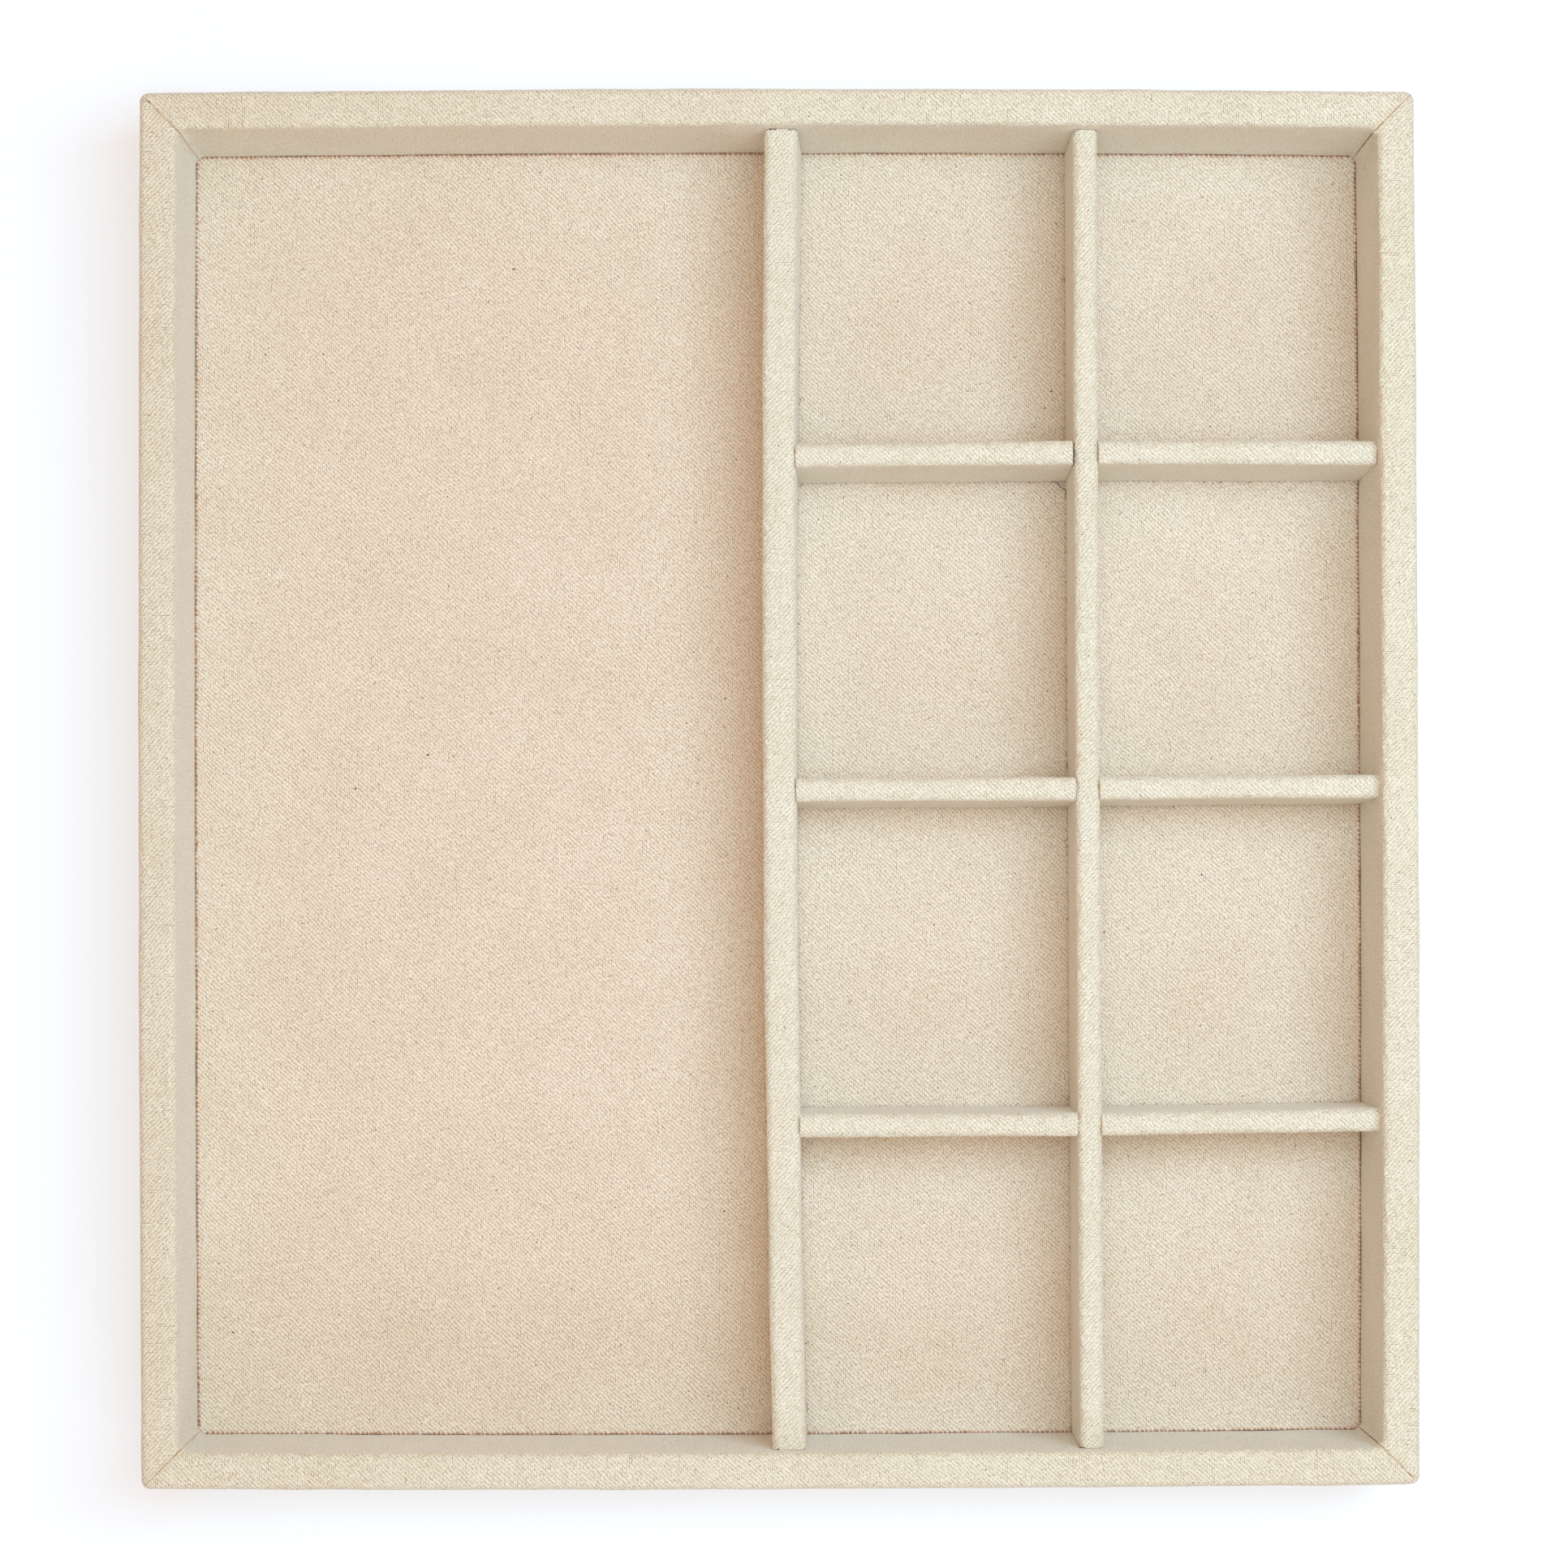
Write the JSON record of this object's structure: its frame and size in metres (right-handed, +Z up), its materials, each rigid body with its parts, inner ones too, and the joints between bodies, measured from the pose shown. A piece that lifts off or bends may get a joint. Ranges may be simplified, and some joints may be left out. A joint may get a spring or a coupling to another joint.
{
  "type": "jewelry tray",
  "caption": "Shallow open rectangular tray of canvas-covered boards, divided by fixed partitions into one large compartment and a grid of small ones for jewelry.",
  "frame": {"origin": "middle of the underside, on the surface the tray stands on", "axes": "+X to the right, the side with the small compartments; +Y along the longer side, to the back; +Z up, out of the open top"},
  "size_m": [0.28, 0.306, 0.038],
  "materials": {
    "fibreboard": "raw, sanded",
    "wall_canvas": "plain-woven cotton canvas, natural",
    "divider_canvas": "plain-woven cotton canvas, natural",
    "floor_canvas": "plain-woven cotton canvas, natural, flecked",
    "card": "grey board, raw",
    "felt": "needled felt",
    "brads": "bright wire"
  },
  "bodies": {
    "root": {"front_wall_board": "fibreboard", "back_wall_board": "fibreboard", "left_wall_board": "fibreboard", "right_wall_board": "fibreboard", "wide_divider_board": "fibreboard", "narrow_divider_board": "fibreboard", "middle_cross_1_board": "fibreboard", "middle_cross_2_board": "fibreboard", "middle_cross_3_board": "fibreboard", "right_cross_1_board": "fibreboard", "right_cross_2_board": "fibreboard", "right_cross_3_board": "fibreboard", "base_board": "fibreboard", "front_wall_canvas": "wall_canvas", "back_wall_canvas": "wall_canvas", "left_wall_canvas": "wall_canvas", "right_wall_canvas": "wall_canvas", "wide_divider_canvas": "divider_canvas", "narrow_divider_canvas": "divider_canvas", "middle_cross_1_canvas": "divider_canvas", "middle_cross_2_canvas": "divider_canvas", "middle_cross_3_canvas": "divider_canvas", "right_cross_1_canvas": "divider_canvas", "right_cross_2_canvas": "divider_canvas", "right_cross_3_canvas": "divider_canvas", "floor_canvas": "floor_canvas", "floor_card": "card", "underside_felt": "felt", "corner_brads": "brads", "base_brads": "brads"}
  },
  "joints": []
}
